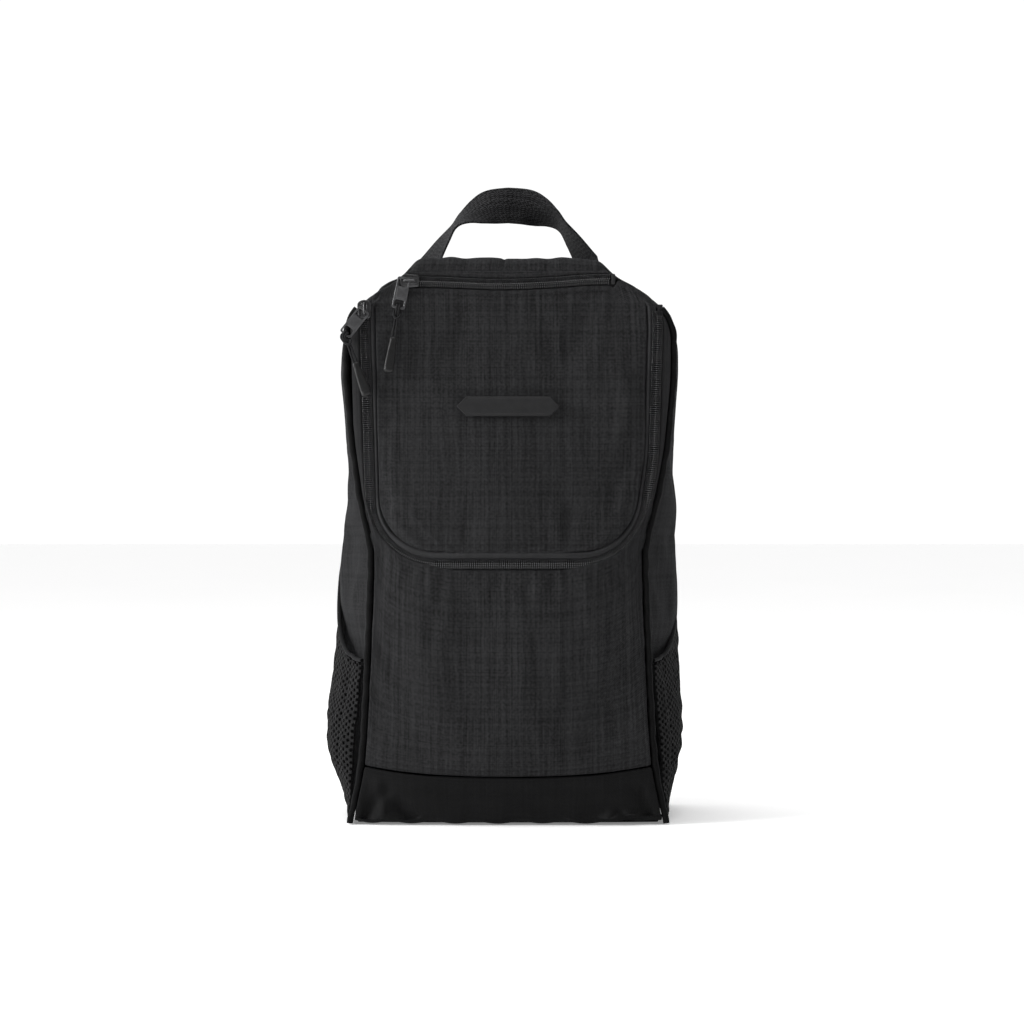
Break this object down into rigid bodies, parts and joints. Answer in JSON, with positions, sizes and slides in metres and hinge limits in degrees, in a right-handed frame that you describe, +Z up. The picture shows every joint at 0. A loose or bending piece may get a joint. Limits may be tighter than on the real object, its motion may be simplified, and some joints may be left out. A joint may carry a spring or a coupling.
{
  "type": "zipped shoe bag",
  "caption": "Upright fabric shoe bag with a zipped fold-up front door, a zipped door pocket, mesh side pockets and a webbing handle.",
  "frame": {"origin": "on the floor, under the middle of the bag's bounding box", "axes": "+Z up, -Y out of the front with the door, +X towards the viewer's right when facing the front"},
  "size_m": [0.2452, 0.1326, 0.4344],
  "materials": {
    "twill": "black polyester twill",
    "smooth_twill": "finer black twill",
    "spacer_mesh": "black open spacer mesh",
    "binding": "black grosgrain binding",
    "piping": "black fabric piping",
    "zip_tape": "black woven zip tape",
    "nylon_coil": "black nylon coil",
    "webbing": "black twill webbing",
    "gunmetal": "dark painted zinc",
    "pull_cord": "black braided cord",
    "grip_rubber": "matt black moulded grip",
    "lining": "black lining taffeta",
    "print_film": "dark satin film"
  },
  "bodies": {
    "bag": {"back_panel": "twill", "bottom_panel": "twill", "base_band": "smooth_twill", "front_lower_panel": "twill", "top_panel": "twill", "side_panel_left": "twill", "side_panel_right": "twill", "mesh_pocket_left": "spacer_mesh", "mesh_pocket_right": "spacer_mesh", "mesh_pocket_hem_left": "binding", "mesh_pocket_hem_right": "binding", "front_piping_left": "piping", "front_piping_right": "piping", "front_seam_binding_left": "binding", "front_seam_binding_right": "binding", "back_seam_binding": "binding", "door_zip_tape_outer": "zip_tape", "door_zip_coil_outer": "nylon_coil", "handle_foot_left": "webbing", "handle_foot_right": "webbing"},
    "door": {"door_panel": "twill", "door_lining": "lining", "door_zip_tape_inner": "zip_tape", "door_zip_coil_inner": "nylon_coil", "pocket_zip_tape_lower": "zip_tape", "pocket_zip_tape_upper": "zip_tape", "pocket_zip_coil_lower": "nylon_coil", "pocket_zip_coil_upper": "nylon_coil", "door_emblem": "print_film"},
    "handle": {"handle_strap": "webbing"},
    "door_slider": {"door_slider_body": "gunmetal", "door_slider_bridge": "gunmetal"},
    "door_tab": {"door_tab": "gunmetal"},
    "door_pull": {"door_pull_cord": "pull_cord", "door_pull_grip": "grip_rubber"},
    "pocket_slider": {"pocket_slider_body": "gunmetal", "pocket_slider_bridge": "gunmetal"},
    "pocket_tab": {"pocket_tab": "gunmetal"},
    "pocket_pull": {"pocket_pull_cord": "pull_cord", "pocket_pull_grip": "grip_rubber"}
  },
  "joints": [
    {"name": "door_hinge", "type": "hinge", "parent": "bag", "child": "door", "pos_m": [0, -0.0428, 0.3663], "axis": [-1, 0, 0], "range_deg": [0, 135]},
    {"name": "handle_swing", "type": "hinge", "parent": "bag", "child": "handle", "pos_m": [0, 0.0437, 0.3825], "axis": [1, 0, 0], "range_deg": [-30, 30], "stiffness_Nm_per_rad": 0.01},
    {"name": "door_zip_slide", "type": "slide", "parent": "door", "child": "door_slider", "axis": [0.033, -0.05, -0.9982], "range_m": [0, 0.115]},
    {"name": "door_tab_lift", "type": "hinge", "parent": "door_slider", "child": "door_tab", "pos_m": [-0.09546, -0.04716, 0.34073], "axis": [-0.7828, 0, 0.6222], "range_deg": [0, 110]},
    {"name": "door_pull_swing", "type": "hinge", "parent": "door_tab", "child": "door_pull", "pos_m": [-0.108, -0.04837, 0.32495], "axis": [-0.7828, 0, 0.6222], "range_deg": [0, 55]},
    {"name": "pocket_zip_slide", "type": "slide", "parent": "door", "child": "pocket_slider", "axis": [1, 0, 0], "range_m": [0, 0.125]},
    {"name": "pocket_tab_swing", "type": "hinge", "parent": "pocket_slider", "child": "pocket_tab", "pos_m": [-0.06925, -0.04656, 0.3605], "axis": [0, -1, 0], "range_deg": [-20, 45]},
    {"name": "pocket_pull_swing", "type": "hinge", "parent": "pocket_tab", "child": "pocket_pull", "pos_m": [-0.07293, -0.04748, 0.34245], "axis": [-0.9798, 0, 0.2], "range_deg": [0, 80]}
  ]
}
